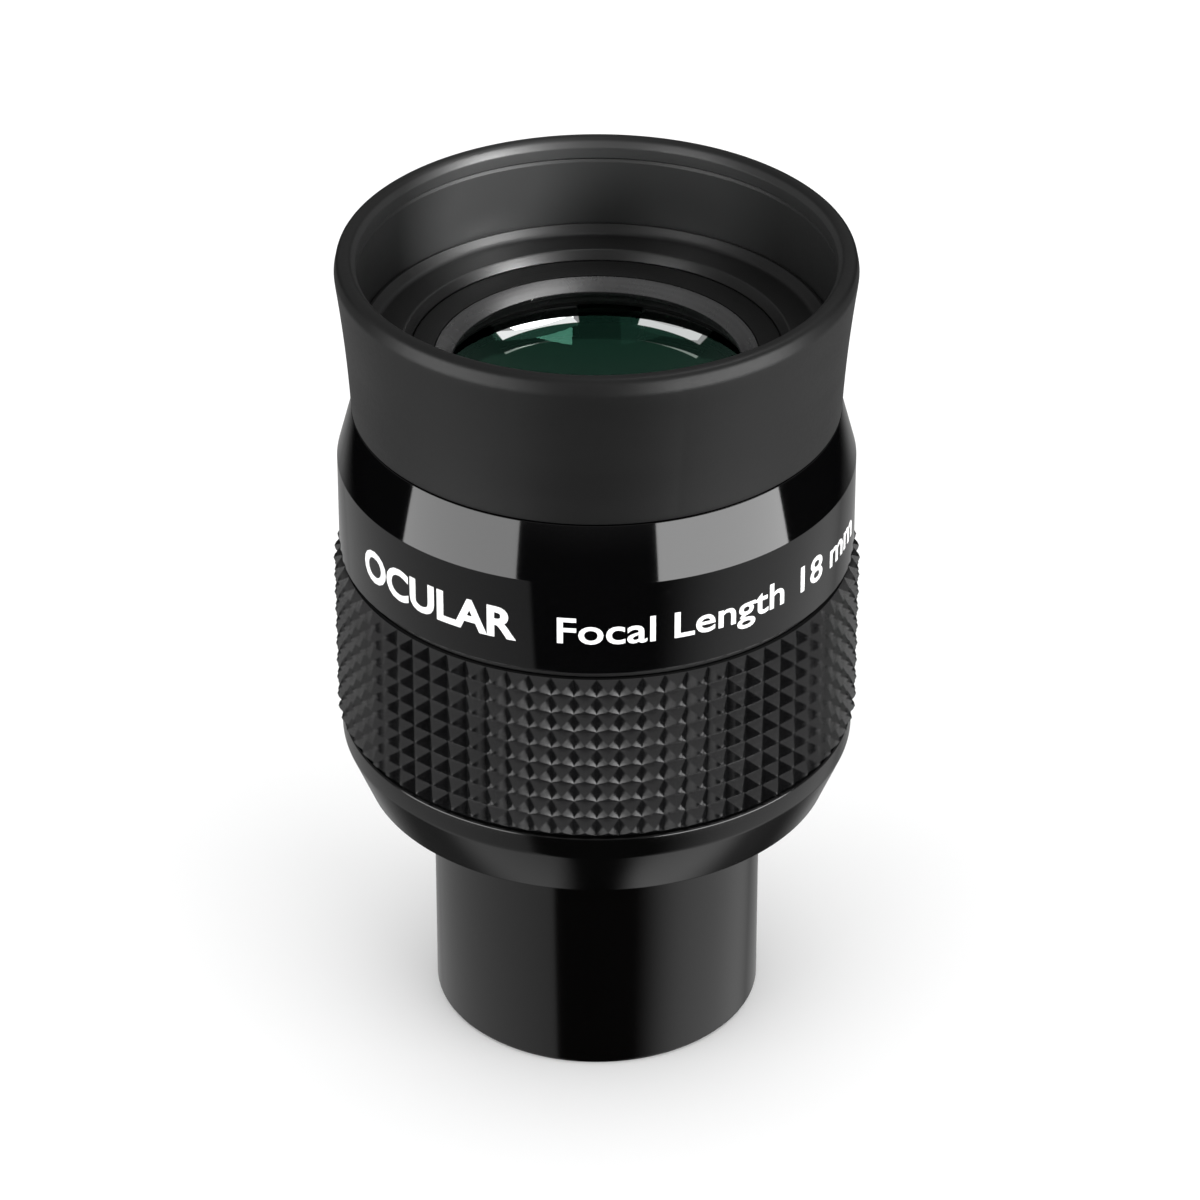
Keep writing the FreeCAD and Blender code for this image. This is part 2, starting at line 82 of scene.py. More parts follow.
# %% Wires and finishes
class Wire:
    """A value travelling from one node to the next."""

    def __init__(self, finish, socket):
        self.finish = finish
        self.socket = socket

    def maths(self, operation, *others):
        return self.finish.node("ShaderNodeMath", {"operation": operation}, [self, *others])

    def __add__(self, other):
        return self.maths("ADD", other)

    def __radd__(self, other):
        return self.maths("ADD", other)

    def __mul__(self, other):
        return self.maths("MULTIPLY", other)

    def __rmul__(self, other):
        return self.maths("MULTIPLY", other)

    def __sub__(self, other):
        return self.maths("SUBTRACT", other)

    def __rsub__(self, other):
        return self.finish.node("ShaderNodeMath", {"operation": "SUBTRACT"}, [other, self])

    def __truediv__(self, other):
        return self.maths("DIVIDE", other)

    def __pow__(self, other):
        return self.maths("POWER", other)

    def clamp(self):
        return self.finish.node("ShaderNodeMath", {"operation": "ADD", "use_clamp": True}, [self, 0.0])

    def rise(self, low, high):
        """0 below low, 1 above high, smooth in between."""
        return self.finish.node("ShaderNodeMapRange", {"interpolation_type": "SMOOTHSTEP"},
                                [self, low, high, 0.0, 1.0])


class Finish:
    """One material, built around a Principled shader."""

    def __init__(self, name, **fixed):
        self.material = bpy.data.materials.new(name)
        self.material.use_nodes = True
        self.tree = self.material.node_tree
        self.shader = self.tree.nodes["Principled BSDF"]
        for word, value in fixed.items():
            self.shader.inputs[word.replace("_", " ")].default_value = value
        self.place = self.node("ShaderNodeTexCoord", {}, [], output="Object")

    def node(self, kind, settings, values, output=0):
        """A node of this kind. Values go to its sockets in order, or by name from a dict."""
        made = self.tree.nodes.new(kind)
        for word, value in settings.items():
            setattr(made, word, value)
        pairs = values.items() if isinstance(values, dict) else enumerate(values)
        for key, value in pairs:
            if isinstance(value, Wire):
                self.tree.links.new(value.socket, made.inputs[key])
            else:
                made.inputs[key].default_value = value
        return Wire(self, made.outputs[output])

    def noise(self, scale, detail=3.0, roughness=0.5, place=None):
        values = {"Vector": place or self.place, "Scale": scale, "Detail": detail,
                  "Roughness": roughness}
        return self.node("ShaderNodeTexNoise", {}, values, output="Fac")

    def stretched(self, x, y, z):
        """Object coordinates scaled by a different amount along each axis."""
        return self.node("ShaderNodeMapping", {}, {"Vector": self.place, "Scale": (x, y, z)})

    def axes(self):
        """The three Object coordinates, each as a value in metres."""
        split = self.tree.nodes.new("ShaderNodeSeparateXYZ")
        self.tree.links.new(self.place.socket, split.inputs[0])
        return [Wire(self, out) for out in split.outputs]

    def blend_colours(self, amount, first, second):
        values = {0: amount, 6: (*first, 1.0) if isinstance(first, tuple) else first,
                  7: (*second, 1.0) if isinstance(second, tuple) else second}
        return self.node("ShaderNodeMix", {"data_type": "RGBA"}, values, output=2)

    def feed(self, word, wire):
        self.tree.links.new(wire.socket, self.shader.inputs[word])

    def relief(self, height, depth, strength=1.0):
        """Turns a height from 0 to 1 into a bump that is depth metres deep."""
        bump = self.node("ShaderNodeBump", {}, {"Strength": strength, "Distance": depth,
                                                "Height": height}, output="Normal")
        self.feed("Normal", bump)


print("finish tools ready")


# %% [markdown]
# ## Turned shapes
#
# Nearly every part of an eyepiece is turned on a lathe, so one function makes most of the
# pieces. It takes a closed outline of (radius, height) and carries it round the axis. Real
# corners are never knife sharp: `outline` rounds each corner with a small arc first, and that
# arc is what catches the light along an edge.

# %% Outlines with rounded corners
def outline(corners, steps=5):
    """A closed outline in mm from (radius, height, rounding) corners.

    A corner of rounding q is replaced by points on the arc of radius q that touches both of
    its sides: the arc starts q * tan(turn / 2) before the corner and ends as far after it.
    """
    spots = np.array([corner[:2] for corner in corners], float)
    path = []
    for i, (r, z, q) in enumerate(corners):
        here = np.array([r, z])
        back = spots[i - 1] - here
        on = spots[(i + 1) % len(spots)] - here
        back_length, on_length = np.linalg.norm(back), np.linalg.norm(on)
        back, on = back / back_length, on / on_length
        inside = math.acos(np.clip(back @ on, -1, 1))
        if q <= 0 or inside > math.pi - 0.02:
            path.append(here[None])
            continue
        reach = min(q / math.tan(inside / 2), 0.49 * back_length, 0.49 * on_length)
        q = reach * math.tan(inside / 2)
        middle = (back + on) / np.linalg.norm(back + on)
        centre = here + middle * q / math.sin(inside / 2)
        start, end = here + back * reach - centre, here + on * reach - centre
        first = math.atan2(start[1], start[0])
        sweep = (math.atan2(end[1], end[0]) - first + math.pi) % (2 * math.pi) - math.pi
        angles = first + sweep * np.linspace(0, 1, steps + 1)
        path.append(centre + q * np.stack([np.cos(angles), np.sin(angles)], 1))
    return np.concatenate(path)


def divided(path, longest, where=lambda here, after: True):
    """The same closed outline, with extra points on the sides that where() picks.

    None of those sides is then longer than longest mm.
    """
    pieces = []
    for here, after in zip(path, np.roll(path, -1, axis=0)):
        count = max(1, math.ceil(np.linalg.norm(after - here) / longest)) if where(here, after) else 1
        pieces.append(here + (after - here) * (np.arange(count) / count)[:, None])
    return np.concatenate(pieces)


print("outline of a rounded square:", len(outline([(1, 0, .1), (2, 0, .1), (2, 1, .1), (1, 1, .1)])))


# %% Grids into meshes
def mesh_from(name, points, faces, crease=32.0):
    """A smooth-shaded object from metre points and quads, sharp where faces turn by crease."""
    mesh = bpy.data.meshes.new(name)
    mesh.from_pydata(points.reshape(-1, 3), [], faces.reshape(-1, faces.shape[-1]).tolist())
    mesh.shade_smooth()
    mesh.set_sharp_from_angle(angle=math.radians(crease))
    mesh.validate()
    piece = bpy.data.objects.new(name, mesh)
    bpy.context.scene.collection.objects.link(piece)
    print(f"{name}: {len(mesh.vertices)} points, {len(mesh.polygons)} faces")
    return piece


def ring_faces(rows, columns):
    """Quads that join each cell of a grid to the next one, closed in both directions."""
    index = np.arange(rows * columns).reshape(rows, columns)
    right = np.roll(index, -1, axis=1)
    down = np.roll(index, -1, axis=0)
    across = np.roll(right, -1, axis=0)
    return np.stack([index, right, across, down], -1)


def turned(name, path, around=256, radius_change=None, crease=32.0):
    """Carries a closed outline (mm, drawn anticlockwise) round the axis.

    Point (i, j) is (r cos a, r sin a, z), with (r, z) the outline's point i and a the angle
    j / around of a turn. radius_change(r, z, a) may add to r, as a thread does.
    """
    path = np.asarray(path)
    following = np.roll(path, -1, axis=0)
    area = np.sum(path[:, 0] * following[:, 1] - following[:, 0] * path[:, 1]) / 2
    if area < 0:
        path = path[::-1]
    angle = np.arange(around) * 2 * math.pi / around
    r, z = path[:, :1] + 0 * angle, path[:, 1:] + 0 * angle
    if radius_change is not None:
        r = r + radius_change(r, z, angle[None, :] + 0 * r)
    points = np.stack([r * np.cos(angle), r * np.sin(angle), z], -1) * MM
    return mesh_from(name, points, ring_faces(*points.shape[:2]), crease)


print("turning tools ready")


# %% [markdown]
# ## Black anodised metal
#
# Anodising is a thin, glassy oxide that holds black dye. It shows the tool marks of the lathe
# as very fine rings. They could be real grooves, but at a few thousandths of a millimetre that
# wastes triangles, so noise squeezed along the axis stands in for them: it changes with height
# far more than around the tube. The barrel and cone are satin, the marking band is glossy.

# %% Metal finishes
def anodised(name, tint, rough, lines, line_depth, spots, **fixed):
    """Dyed oxide: fine turned rings, faint cloudiness, and a little dust."""
    made = Finish(name, **fixed)
    rings = made.noise(1.0, 2.0, 0.6, made.stretched(20, 20, lines))
    cloud = made.noise(90.0, 4.0)
    grain = made.noise(5200.0, 1.0)
    dust = made.noise(1500.0, 2.0).rise(0.70, 0.80) * spots
    shade = (cloud * 0.35 + grain * 0.15 + 0.75).clamp()
    colour = made.blend_colours(shade, (0.0, 0.0, 0.0), tint)
    made.feed("Base Color", made.blend_colours(dust, colour, (0.10, 0.10, 0.10)))
    streak = (rings - 0.5) * 0.3 + (cloud - 0.5) * 0.2
    made.feed("Roughness", (rough + streak * rough + dust * 0.3).clamp())
    made.relief(rings * 0.6 + grain * 0.4, line_depth)
    return made.material


BARREL_BLACK = anodised("barrel_anodised", (0.0010, 0.0009, 0.0009), rough=0.12, lines=9000.0,
                        line_depth=0.2e-6, spots=0.03, IOR=1.58)
HOUSING_BLACK = anodised("housing_anodised", (0.0010, 0.0010, 0.0010), rough=0.15, lines=9000.0,
                         line_depth=0.2e-6, spots=0.03, IOR=1.5)
GLOSS_BLACK = anodised("band_gloss_anodised", (0.0012, 0.0012, 0.0013), rough=0.06, lines=4000.0,
                       line_depth=0.1e-6, spots=0.02, IOR=1.42)
RING_BLACK = anodised("ring_satin_anodised", (0.006, 0.006, 0.006), rough=0.37, lines=6000.0,
                      line_depth=0.5e-6, spots=0.02, IOR=1.52)
print("metal:", BARREL_BLACK.name, HOUSING_BLACK.name, GLOSS_BLACK.name)


# %% [markdown]
# Inside the cell the metal is matte, so that stray light dies there. The retainer's mouth is a
# cone with rings cut into it, which the lathe leaves a shade lighter than the rest. A sine wave
# of radius and height draws the rings, because it follows a cone as well as a flat face.

# %% Inner metal
def ringed(name, tint, edge, rough, pitch, depth, **fixed):
    """Matte metal with rings about the axis: their height is a wave of the radius over pitch."""
    made = Finish(name, **fixed)
    x, y, z = made.axes()
    radius = (x * x + y * y) ** 0.5
    wave = ((radius + z) * (2 * math.pi / pitch)).maths("SINE") * 0.5 + 0.5
    cloud = made.noise(300.0, 3.0)
    made.feed("Base Color", made.blend_colours((wave * 0.4 + cloud * 0.6).clamp(), tint, edge))
    made.feed("Roughness", (rough + (cloud - 0.5) * 0.05).clamp())
    made.relief(wave, depth)
    return made.material


INNER_BLACK = ringed("inner_black", (0.003, 0.003, 0.003), (0.007, 0.007, 0.007), rough=0.42,
                     pitch=0.00030, depth=2e-6, IOR=1.45, Specular_IOR_Level=0.3)
MOUTH_GREY = ringed("retainer_anodised", (0.011, 0.011, 0.0115), (0.033, 0.033, 0.034), rough=0.27,
                    pitch=0.0008, depth=1.2e-6, IOR=1.9)
print("inner metal:", INNER_BLACK.name, MOUTH_GREY.name)


# %% [markdown]
# ## Rubber
#
# Moulded rubber has a fine spark-eroded grain, a soft sheen, and picks up pale dust. The eyecup
# is a soft grey-black, the grip is harder and darker. A plain dark shader would look like painted
# metal. The grain breaks up its highlights. The cup's inner wall is painted paler: painted light
# for the light that falls into the cup.

# %% Rubber finishes
def rubber(name, tint, bloom, rough, grain_size, depth, painted_light_inside=None, **fixed):
    """Moulded rubber. Inside the given radius (metres) it is painted paler: painted light for the lit
    inner wall of the cup.
    """
    made = Finish(name, **fixed)
    grain = made.noise(grain_size, 3.0, 0.6)
    cloud = made.noise(110.0, 4.0)
    smear = made.noise(1.0, 3.0, 0.5, made.stretched(60, 60, 300))
    colour = made.blend_colours((cloud * 0.7 + smear * 0.5 - 0.15).clamp(), tint, bloom)
    if painted_light_inside is not None:
        # Painted light: inside the cup the wall is painted paler, standing in for light falling on it.
        x, y, z = made.axes()
        inside = 1.0 - ((x * x + y * y) ** 0.5).rise(painted_light_inside, painted_light_inside + 0.0002)
        colour = made.blend_colours(inside, colour, tuple(2.6 * c for c in bloom))
    made.feed("Base Color", colour)
    made.feed("Roughness", (rough + (smear - 0.5) * 0.12 + (grain - 0.5) * 0.10).clamp())
    made.relief(grain, depth)
    return made.material


CUP_RUBBER = rubber("eyecup_rubber", (0.0056, 0.0056, 0.0056), (0.0086, 0.0087, 0.0087), rough=0.44,
                    grain_size=2600.0, depth=6e-6, painted_light_inside=0.0226, IOR=1.42,
                    Specular_IOR_Level=0.36)
GRIP_RUBBER = rubber("grip_rubber", (0.0022, 0.0022, 0.0023), (0.0055, 0.0056, 0.0060), rough=0.22,
                     grain_size=3200.0, depth=4e-6, IOR=1.9)
SEAL_RUBBER = rubber("seal_rubber", (0.004, 0.004, 0.004), (0.008, 0.008, 0.008), rough=0.6,
                     grain_size=3000.0, depth=6e-6, IOR=1.45)
print("rubber:", CUP_RUBBER.name, GRIP_RUBBER.name, SEAL_RUBBER.name)


# %% [markdown]
# ## Glass
#
# The lens is clear, but what a person sees is the green glint of its coating over a dark
# barrel. It could be painted green, and would then look flat. A clear shader with a green
# specular tint keeps the depth, since light still goes down to the real lenses below. The two
# white glints at the back are painted glints: two arcs of the rim are made silvery, placed for the
# main view. They stay put when the eye moves, which real glints don't.

# %% Coated glass, brass and steel
PAINTED_GLINT_ARCS = (-0.70, -0.135), (0.30, 0.755)


def coated_glass(name, glint, body, painted_glint_from=None):
    """Clear glass whose coating turns its reflection green.

    Outside the radius painted_glint_from (metres) two arcs of the rim are silvery, where y is positive and
    x over the radius lies between the two values of a pair in PAINTED_GLINT_ARCS. They stand in for the
    glints of the main view, and aren't part of a real lens.
    """
    made = Finish(name, IOR=1.5, Transmission_Weight=1.0, Specular_Tint=(*glint, 1.0),
                  Roughness=0.0)
    film = made.noise(60.0, 2.0)
    colour = made.blend_colours(film, body, tuple(0.9 * c for c in body))
    if painted_glint_from is not None:
        # Painted glints: two silvery arcs at the back of the rim, placed for the main view.
        x, y, z = made.axes()
        radius = (x * x + y * y) ** 0.5
        share = x / radius
        arcs = [share.rise(low, low + 0.01) - share.rise(high, high + 0.01) for low, high in PAINTED_GLINT_ARCS]
        outer = radius.rise(painted_glint_from, painted_glint_from + 0.00008)
        painted_glint = outer * (arcs[0] + arcs[1]) * y.rise(0.0, 0.001)
        made.feed("Metallic", painted_glint)
        colour = made.blend_colours(painted_glint, colour, (0.95, 0.98, 0.97))
    made.feed("Base Color", colour)
    return made.material


EYE_GLASS = coated_glass("lens_coating", (0.22, 1.0, 0.66), (0.80, 0.97, 0.86), painted_glint_from=0.0128)
STACK_GLASS = coated_glass("inner_lens_coating", (0.25, 1.0, 0.35), (0.72, 0.95, 0.80))


def plain_metal(name, tint, rough):
    made = Finish(name, Metallic=1.0)
    rolled = made.noise(1.0, 3.0, 0.6, made.stretched(200, 3000, 200))
    stain = made.noise(400.0, 3.0)
    made.feed("Base Color", made.blend_colours((stain * 0.6).clamp(), tint, tuple(0.6 * c for c in tint)))
    made.feed("Roughness", (rough + (rolled - 0.5) * 0.2).clamp())
    made.relief(rolled, 0.000003)
    return made.material


SHIM_BRASS = plain_metal("shim_brass", (0.72, 0.53, 0.25), 0.35)
SCREW_STEEL = plain_metal("screw_steel", (0.45, 0.45, 0.46), 0.30)
print("glass:", EYE_GLASS.name, STACK_GLASS.name)


# %% [markdown]
# ## The barrel and its two threads
#
# The barrel is a plain tube outside. Inside its mouth is the fine thread that filters screw
# into, and above the shoulder is the screw that holds it in the housing. A ridge could be swept
# along a helix and joined on, but such a join seldom closes. Here the turned wall itself rises
# and falls along a slanting line: its phase is the height over the pitch, less the turn.

# %% Barrel
BARREL_RADIUS = radius_of("barrel_tube")
SHOULDER = 25.05
NECK_TOP = span_of("barrel_tube")[1]
MOUTH_THREAD, NECK_THREAD = 14.1, 15.0
SAME_RADIUS = 0.02


def thread(z, angle, low, high, pitch, depth):
    """A V thread between two heights: depth * |saw(z / pitch - angle / turn)|, faded at its ends."""
    phase = (z / pitch - angle / (2 * math.pi)) % 1.0
    fade = np.clip((z - low) / pitch, 0, 1) * np.clip((high - z) / pitch, 0, 1)
    return depth * (np.abs(phase - 0.5) * 2) * fade


def barrel_threads(r, z, angle):
    """The filter thread cuts outwards into the mouth, the screw's thread inwards into the neck."""
    mouth = np.abs(r - MOUTH_THREAD) < SAME_RADIUS
    neck = np.abs(r - NECK_THREAD) < SAME_RADIUS
    return (mouth * thread(z, angle, low=0.35, high=3.9, pitch=0.6, depth=0.30)
            + neck * thread(z, angle, low=25.5, high=29.4, pitch=0.75, depth=-0.40))


barrel_path = outline([
    (14.4, 0, 0.08), (15.5, 0, 0.12), (BARREL_RADIUS, 0.38, 0.25), (BARREL_RADIUS, SHOULDER, 0.15),
    (14.75, SHOULDER, 0.0), (14.75, 25.45, 0.0), (NECK_THREAD, 25.45, 0.0), (NECK_THREAD, 29.3, 0.0),
    (14.7, NECK_TOP, 0.05), (14.02, NECK_TOP, 0.05), (14.0, 19.0, 0.0), (13.6, 19.0, 0.05),
    (13.6, 4.0, 0.05), (MOUTH_THREAD, 4.0, 0.0), (MOUTH_THREAD, 0.3, 0.0)])


def finished(piece, material, body, slot, *nodes):
    """Gives a piece its finish and its body, and hides the CAD nodes it stands for. The slot is not used.
    """
    piece.data.materials.append(material)
    if nodes:
        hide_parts(*nodes)
    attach(piece, body)
    return piece


def threaded(here, after):
    """True on the two walls that carry a thread."""
    return any(abs(here[0] - r) + abs(after[0] - r) < SAME_RADIUS for r in (MOUTH_THREAD, NECK_THREAD))


barrel = turned("barrel", divided(barrel_path, 0.1, threaded), 192, barrel_threads)
finished(barrel, BARREL_BLACK, "barrel", "barrel_anodised", "barrel_tube")


# %% [markdown]
# ## The housing
#
# Two turned shells hold everything. The lower one is a short cone above the barrel, with a
# collar that the grip stands on. The upper one is the polished band that carries the lettering,
# with a chamfer above it. Plain cylinders and a Bevel modifier would come close. The turned
# outline is chosen because each edge gets a rounding of its own, 0.1 to 0.3 mm, and catches a
# thin line of light.

# %% Lower and upper housing
COLLAR_RADIUS = radius_of("lower_housing")
HOUSING_FOOT = span_of("lower_housing")[0]
GRIP_LOW, GRIP_HIGH = span_of("grip_sleeve")
BAND_RADIUS = radius_of("upper_housing")
BAND_LOW, NECK_END = span_of("upper_housing")
BAND_HIGH = 60.2
CHAMFER_TOP = 65.6

lower_housing = turned("lower_housing_shell", outline([
    (15.06, 25.4, 0.0), (15.4, HOUSING_FOOT, 0.1), (22.4, HOUSING_FOOT, 0.35),
    (COLLAR_RADIUS, 30.4, 1.2), (COLLAR_RADIUS, GRIP_LOW, 0.18), (22.7, GRIP_LOW, 0.0),
    (22.7, GRIP_HIGH, 0.1), (21.5, GRIP_HIGH, 0.0),
    (21.5, 53.4, 0.1), (18.7, 53.4, 0.1), (18.7, 31.2, 0.0), (14.2, 31.2, 0.1),
    (14.2, 30.2, 0.1), (15.06, 30.2, 0.0)]))
finished(lower_housing, HOUSING_BLACK, "housing", "housing_anodised", "lower_housing")

seal_ring = turned("housing_seal", outline([
    (21.55, GRIP_HIGH, 0.0), (23.75, GRIP_HIGH, 0.1), (23.75, BAND_LOW, 0.1),
    (21.55, BAND_LOW, 0.0)]), 128)
finished(seal_ring, SEAL_RUBBER, "housing", "seal_rubber", "housing_seal_ring")

upper_housing = turned("upper_housing_shell", outline([
    (21.56, BAND_LOW, 0.0), (BAND_RADIUS, BAND_LOW, 0.28), (BAND_RADIUS, BAND_HIGH, 0.14),
    (23.0, CHAMFER_TOP, 0.10), (21.9, CHAMFER_TOP, 0.0), (21.9, 67.1, 0.05), (21.1, 67.1, 0.0),
    (21.1, 68.5, 0.0), (21.9, 68.5, 0.05), (21.9, NECK_END, 0.1), (17.8, NECK_END, 0.1),
    (17.8, 69.2, 0.0), (18.7, 69.2, 0.0), (18.7, 54.3, 0.0), (21.56, 54.3, 0.0)]), 320)
finished(upper_housing, GLOSS_BLACK, "housing", "housing_gloss", "upper_housing")


# %% [markdown]
# ## The rubber grip
#
# The grip is covered in small square pyramids, nine rows of seventy-two. One pyramid could be
# repeated by two arrays, but its walls would have to be welded. One skin does it better: over
# each cell the height is the lesser of two tent functions, one of the angle and one of the
# height, cut off just below the tip, where the mould can't be sharp. Each quad near a diagonal
# is split along that diagonal, or the pyramids' ridges would look like saw teeth.

# %% Grip
ROWS, COLUMNS = 9, 72
VALLEY, TIP = 24.15, 25.06
CELL = 8


def tent(share):
    """0 at both ends of a cell, 1 in its middle, with a narrow flat valley and a blunt top."""
    rise = (1 - np.abs(share * 2 - 1)) * 1.14 - 0.07
    return np.clip(rise, 0, 0.93) / 0.93


def pyramid_grip():
    """Outer wall: r = VALLEY + (TIP - VALLEY) * min(tent(column share), tent(row share))."""
    around = COLUMNS * CELL
    up = ROWS * CELL
    u = np.arange(around)
    v = np.arange(up + 1)
    height = np.minimum(tent(u % CELL / CELL)[None, :], tent(v % CELL / CELL)[:, None])
    r = VALLEY + (TIP - VALLEY) * height
    z = GRIP_LOW + 0.05 + (GRIP_HIGH - GRIP_LOW - 0.1) * (v / up)[:, None] + 0 * r
    angle = 2 * math.pi * u / around - math.pi / 2
    inner = 22.75 + 0 * angle
    r = np.concatenate([inner[None], r, inner[None]])
    z = np.concatenate([z[:1], z, z[-1:]])
    points = np.stack([r * np.cos(angle), r * np.sin(angle), z], -1) * MM
    quads = ring_faces(*points.shape[:2])
    a, b, c, d = (quads[..., i] for i in range(4))
    row = (np.arange(quads.shape[0]) - 1)[:, None] % CELL < CELL // 2
    column = np.arange(quads.shape[1])[None, :] % CELL < CELL // 2
    along = (row == column)[..., None, None]
    triangles = np.where(along, np.stack([np.stack([a, b, c], -1), np.stack([a, c, d], -1)], 2),
                         np.stack([np.stack([a, b, d], -1), np.stack([b, c, d], -1)], 2))
    return mesh_from("grip_pyramids", points, triangles, crease=24.0)


finished(pyramid_grip(), GRIP_RUBBER, "housing", "grip_rubber", "grip_sleeve")


# %% [markdown]
# ## Lettering
#
# The band carries plain white lettering: what the part is, and its focal length. A picture on
# the band would blur close up, so the letters are real and a little proud of the metal. Each
# word is flat text with a little thickness, cut into narrow upright slices, and then wrapped: a
# point x along the line goes to an angle in proportion, so the letters bend with the metal.

# %% Lettering
def ink(name, tint):
    made = Finish(name, IOR=1.45)
    worn = made.noise(1400.0, 4.0, 0.6)
    cover = made.noise(9000.0, 2.0)
    made.feed("Base Color", made.blend_colours(worn.rise(0.62, 0.78) * 0.5, tint, (0.35, 0.35, 0.35)))
    made.feed("Roughness", (cover * 0.2 + 0.4).clamp())
    made.relief(cover, 0.000004)
    return made.material


WHITE_INK = ink("white_ink", (0.80, 0.80, 0.80))
HALF_THICK = 0.02


def lettering(name, words, cap_height, first, last, height, bold):
    """Text wrapped on the band from angle first to last (degrees), its middle at height mm.

    The letters start 0.05 mm below the metal's surface and end 0.03 mm above it.
    """
    curve = bpy.data.curves.new(name, "FONT")
    curve.body = words
    curve.extrude = HALF_THICK
    curve.offset = bold
    curve.resolution_u = 4
    source = bpy.data.objects.new(name + "_flat", curve)
    bpy.context.scene.collection.objects.link(source)
    shapes = bpy.context.evaluated_depsgraph_get()
    mesh = bpy.data.meshes.new_from_object(source.evaluated_get(shapes))
    bpy.data.objects.remove(source)
    work = bmesh.new()
    work.from_mesh(mesh)
    bmesh.ops.remove_doubles(work, verts=work.verts, dist=1e-6)
    low = min(v.co.x for v in work.verts)
    high = max(v.co.x for v in work.verts)
    for cut in np.linspace(low, high, int(abs(last - first)) + 2)[1:-1]:
        bmesh.ops.bisect_plane(work, geom=[*work.verts, *work.edges, *work.faces],
                               plane_co=(cut, 0, 0), plane_no=(1, 0, 0))
    bmesh.ops.remove_doubles(work, verts=work.verts, dist=1e-5)
    bmesh.ops.triangulate(work, faces=work.faces)
    bmesh.ops.recalc_face_normals(work, faces=work.faces)
    work.to_mesh(mesh)
    work.free()
    flat = np.empty(len(mesh.vertices) * 3)
    mesh.vertices.foreach_get("co", flat)
    x, y, depth = flat.reshape(-1, 3).T
    tall = y[y > 0].max()
    angle = np.radians(first + (x - low) / (high - low) * (last - first))
    r = BAND_RADIUS + np.interp(depth, (-HALF_THICK, HALF_THICK), (-0.05, 0.03))
    z = height + (y / tall - 0.5) * cap_height
    mesh.vertices.foreach_set("co", (np.stack([r * np.sin(angle), -r * np.cos(angle), z], 1)
                                     * MM).ravel())
    mesh.update()
    piece = bpy.data.objects.new(name, mesh)
    bpy.context.scene.collection.objects.link(piece)
    print(f"{name}: {len(mesh.vertices)} points, letters {tall:.3f} tall before scaling")
    return piece


type_letters = lettering("type_lettering", "OCULAR", cap_height=3.2, first=-61.5, last=-17.5,
                         height=55.3, bold=0.030)
finished(type_letters, WHITE_INK, "housing", "housing_gloss")
focal_letters = lettering("focal_lettering", "Focal Length 18 mm", cap_height=2.7, first=-8.5,
                          last=78.0, height=55.3, bold=0.012)
finished(focal_letters, WHITE_INK, "housing", "housing_gloss")


# %% [markdown]
# ## Inside the eyecup
#
# Looking down into the cup there is a flat metal ring with a raised rim, the sloping top of the
# lens cell, then the retainer: a cone with fine turned rings, above the glass. One outline could
# draw them all. They are three pieces, as on the real object, so the dark seams between them are
# real gaps.

# %% Clamp ring, cell and retainer
clamp_ring = turned("clamp_ring", outline([
    (17.5, NECK_END, 0.0), (22.1, NECK_END, 0.0), (22.1, 72.55, 0.08), (21.8, 72.55, 0.12),
    (21.05, 71.75, 0.80), (18.15, 71.75, 0.35), (17.45, 70.95, 0.12)], steps=8))
finished(clamp_ring, RING_BLACK, "housing", "inner_black", "eyecup_clamp_ring")

cell = turned("cell_shell", outline([
    (13.4, 31.5, 0.05), (18.6, 31.5, 0.1), (18.6, 69.15, 0.1), (17.4, 69.15, 0.0),
    (17.4, 70.9, 0.10), (15.25, 70.45, 0.03), (15.25, 33.5, 0.0), (13.4, 33.5, 0.05)]))
finished(cell, INNER_BLACK, "housing", "inner_black", "lens_cell")

retainer = turned("retainer", outline([
    (14.3, 68.18, 0.05), (15.2, 68.18, 0.0), (15.2, 70.46, 0.06), (13.62, 69.55, 0.10),
    (13.62, 69.23, 0.05), (14.3, 68.78, 0.0)]))
finished(retainer, MOUTH_GREY, "housing", "retainer_anodised", "eye_lens_retainer")


# %% [markdown]
# ## Five lenses
#
# A lens is two balls' worth of surface joined by a ground rim. Squashed balls would do for a
# first look, but a reflection is only in the right place when the curve is. So each face is part
# of a sphere through the vertex on the axis and the rim, whose radius follows from the sag:
# R = (rim^2 + sag^2) / (2 sag).

# %% Lenses
def lens_face(vertex, rim, edge, steps=40):
    """Points of a spherical face from the axis (0, vertex) to (rim, edge)."""
    r = rim * np.sin(np.linspace(0, math.pi / 2, steps + 1))
    sag = edge - vertex
    radius = (rim ** 2 + sag ** 2) / (2 * sag)
    return np.stack([r, vertex + radius - np.sign(sag) * np.sqrt(radius ** 2 - r ** 2)], 1)


def lens(name, low_vertex, low_edge, high_edge, high_vertex, around=160):
    """A closed lens turned from its two faces; the poles are merged to single points."""
    face_rim, rim = 14.5, radius_of("eye_lens")
    path = np.concatenate([lens_face(low_vertex, face_rim, low_edge), [[rim, low_edge]],
                           [[rim, high_edge]], lens_face(high_vertex, face_rim, high_edge)[::-1]])
    piece = turned(name, path, around, crease=40.0)
    work = bmesh.new()
    work.from_mesh(piece.data)
    bmesh.ops.remove_doubles(work, verts=work.verts, dist=1e-8)
    work.to_mesh(piece.data)
    work.free()
    return piece


# Heights of the lower vertex, lower edge, upper edge and upper vertex, in mm.
LENSES = {
    "eye_lens": (61.86, 65.26, 67.66, 63.65), "middle_flint": (55.06, 51.46, 57.66, 56.56),
    "middle_crown": (46.93, 50.03, 51.43, 55.03), "field_crown": (36.43, 41.03, 42.03, 45.43),
    "field_flint": (34.60, 33.50, 41.00, 36.40)}
for node, heights in LENSES.items():
    glass = lens(node + "_glass", *heights)
    finished(glass, EYE_GLASS if node == "eye_lens" else STACK_GLASS, "housing", "lens_glass", node)


